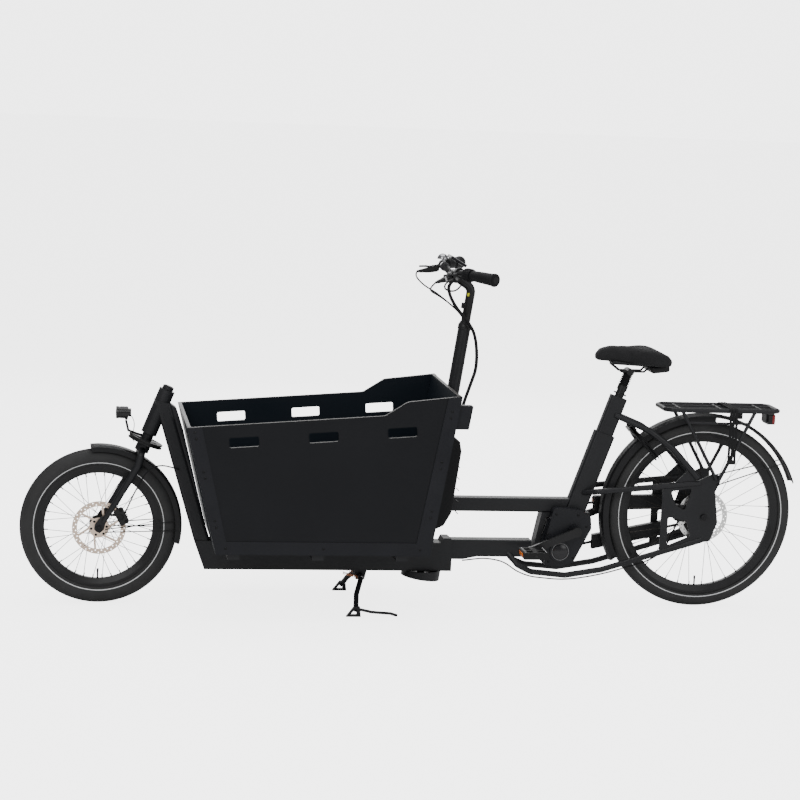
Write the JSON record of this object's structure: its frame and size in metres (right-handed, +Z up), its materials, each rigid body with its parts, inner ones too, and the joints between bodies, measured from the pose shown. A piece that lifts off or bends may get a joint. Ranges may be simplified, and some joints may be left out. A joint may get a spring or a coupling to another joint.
{
  "type": "cargo bicycle",
  "caption": "Long two-wheeled cargo bicycle with a low box between rider and front wheel, mid motor, rear rack and centre stand",
  "frame": {"origin": "on the ground under the middle of the overall length and width", "axes": "+Z up, -X forward, +Y to the rider's right"},
  "size_m": [2.6934, 0.6844, 1.2182],
  "materials": {
    "frame_paint": "satin",
    "bare_steel": "satin",
    "dark_steel": "satin",
    "aluminium_black": "satin anodised",
    "aluminium": "satin",
    "rotor_steel": "brushed",
    "tyre_rubber": "matt",
    "box_board": "matt phenolic film",
    "edging": "satin",
    "battery_plastic": "matt",
    "motor_case": "satin",
    "guard_plastic": "satin",
    "rubber_black": "matt",
    "lamp_plastic": "gloss",
    "red_lens": "gloss",
    "strap_elastic": "woven",
    "saddle_fabric": "woven cover over foam",
    "display_plastic": "gloss",
    "pedal_plastic": "matt"
  },
  "bodies": {
    "frame": {"front_frame": "frame_paint", "chassis": "frame_paint", "steering_bearings": "bare_steel", "main_rails": "frame_paint", "seat_tube": "frame_paint", "rear_frame": "frame_paint", "box_left_panel": "box_board", "box_right_panel": "box_board", "box_end_panels": "box_board", "box_floor": "box_board", "box_trims": "edging", "battery": "battery_plastic", "motor": "motor_case", "chain_case": "guard_plastic", "chain": "dark_steel", "rear_mudguard": "guard_plastic", "rack": "frame_paint", "tail_lamp": "red_lens", "rack_strap": "strap_elastic", "ring_lock": "dark_steel", "rear_calliper": "aluminium_black", "rear_axle": "bare_steel", "frame_cables": "rubber_black"},
    "fork": {"fork": "frame_paint", "steering_quadrant": "aluminium_black", "front_mudguard": "guard_plastic", "front_calliper": "aluminium_black", "front_axle": "bare_steel", "fork_cables": "rubber_black"},
    "headlamp": {"headlamp": "lamp_plastic"},
    "front_wheel": {"front_tyre": "tyre_rubber", "front_rim": "aluminium_black", "front_spokes": "dark_steel", "front_hub": "aluminium_black", "front_rotor": "rotor_steel"},
    "rear_wheel": {"rear_tyre": "tyre_rubber", "rear_rim": "aluminium_black", "rear_spokes": "dark_steel", "rear_hub": "aluminium_black", "rear_rotor": "rotor_steel"},
    "sprocket": {"sprocket": "dark_steel"},
    "crank": {"crank": "aluminium_black"},
    "pedal_left": {"pedal_left": "pedal_plastic"},
    "pedal_right": {"pedal_right": "pedal_plastic"},
    "column": {"steering_column": "frame_paint"},
    "handlebar": {"stem": "aluminium_black", "handlebar": "aluminium_black", "grips": "rubber_black", "display": "display_plastic", "bell": "aluminium", "bar_cables": "rubber_black"},
    "brake_lever_left": {"brake_lever_left": "aluminium_black"},
    "brake_lever_right": {"brake_lever_right": "aluminium_black"},
    "twist_shifter": {"twist_shifter": "rubber_black"},
    "seatpost": {"seatpost": "aluminium_black"},
    "saddle": {"post_head": "aluminium_black", "saddle": "saddle_fabric"},
    "stand": {"stand": "frame_paint"},
    "lock_shackle": {"lock_shackle": "bare_steel"}
  },
  "joints": [
    {"name": "fork_steer", "type": "hinge", "parent": "frame", "child": "fork", "pos_m": [-0.92122, 0, 0.583], "axis": [0.3665, 0, 0.9304], "range_deg": [-50, 50], "deforming": ["fork_cables"]},
    {"name": "column_steer", "type": "hinge", "parent": "frame", "child": "column", "pos_m": [0.09463, 0, 0.6], "axis": [0.134, 0, 0.991], "range_deg": [-50, 50]},
    {"name": "stem_height", "type": "slide", "parent": "column", "child": "handlebar", "axis": [0.134, 0, 0.991], "range_m": [-0.04, 0.05], "deforming": ["bar_cables"]},
    {"name": "brake_lever_left_pull", "type": "hinge", "parent": "handlebar", "child": "brake_lever_left", "pos_m": [0.05757, -0.17, 1.1565], "axis": [0, 0, -1], "range_deg": [0, 18], "stiffness_Nm_per_rad": 1.5},
    {"name": "brake_lever_right_pull", "type": "hinge", "parent": "handlebar", "child": "brake_lever_right", "pos_m": [0.05757, 0.17, 1.1565], "axis": [0, 0, 1], "range_deg": [0, 18], "stiffness_Nm_per_rad": 1.5},
    {"name": "shift_twist", "type": "hinge", "parent": "handlebar", "child": "twist_shifter", "pos_m": [0.10476, -0.20638, 1.16754], "axis": [0.5074, -0.8609, -0.0371], "range_deg": [-60, 60]},
    {"name": "front_wheel_spin", "type": "hinge", "parent": "fork", "child": "front_wheel", "pos_m": [-1.08173, 0, 0.265], "axis": [0, -1, 0], "continuous": true},
    {"name": "rear_wheel_spin", "type": "hinge", "parent": "frame", "child": "rear_wheel", "pos_m": [1.00927, 0, 0.3295], "axis": [0, -1, 0], "continuous": true},
    {"name": "crank_spin", "type": "hinge", "parent": "frame", "child": "crank", "pos_m": [0.55457, 0, 0.275], "axis": [0, -1, 0], "continuous": true},
    {"name": "sprocket_spin", "type": "hinge", "parent": "frame", "child": "sprocket", "pos_m": [1.00927, 0, 0.3295], "axis": [0, -1, 0], "continuous": true},
    {"name": "pedal_left_spin", "type": "hinge", "parent": "crank", "child": "pedal_left", "pos_m": [0.39509, 0, 0.21057], "axis": [0, -1, 0], "continuous": true},
    {"name": "pedal_right_spin", "type": "hinge", "parent": "crank", "child": "pedal_right", "pos_m": [0.71404, 0, 0.33943], "axis": [0, -1, 0], "continuous": true},
    {"name": "headlamp_tilt", "type": "hinge", "parent": "fork", "child": "headlamp", "pos_m": [-0.99773, 0, 0.634], "axis": [0, -1, 0], "range_deg": [-10, 10]},
    {"name": "stand_fold", "type": "hinge", "parent": "frame", "child": "stand", "pos_m": [-0.18673, 0, 0.105], "axis": [0, -1, 0], "range_deg": [0, 70]},
    {"name": "seatpost_height", "type": "slide", "parent": "frame", "child": "seatpost", "axis": [0.3256, 0, 0.9455], "range_m": [-0.02, 0.1]},
    {"name": "post_suspension", "type": "slide", "parent": "seatpost", "child": "saddle", "axis": [-0.3256, 0, -0.9455], "range_m": [0, 0.03], "stiffness_N_per_m": 18000},
    {"name": "lock_slide", "type": "hinge", "parent": "frame", "child": "lock_shackle", "pos_m": [0.80458, 0, 0.56497], "axis": [0.7547, 0, 0.6561], "range_deg": [0, 110]}
  ],
  "couplings": [
    {"joint": "column_steer", "follows": "fork_steer", "ratio": 1},
    {"joint": "sprocket_spin", "follows": "crank_spin", "ratio": 2.1111}
  ]
}
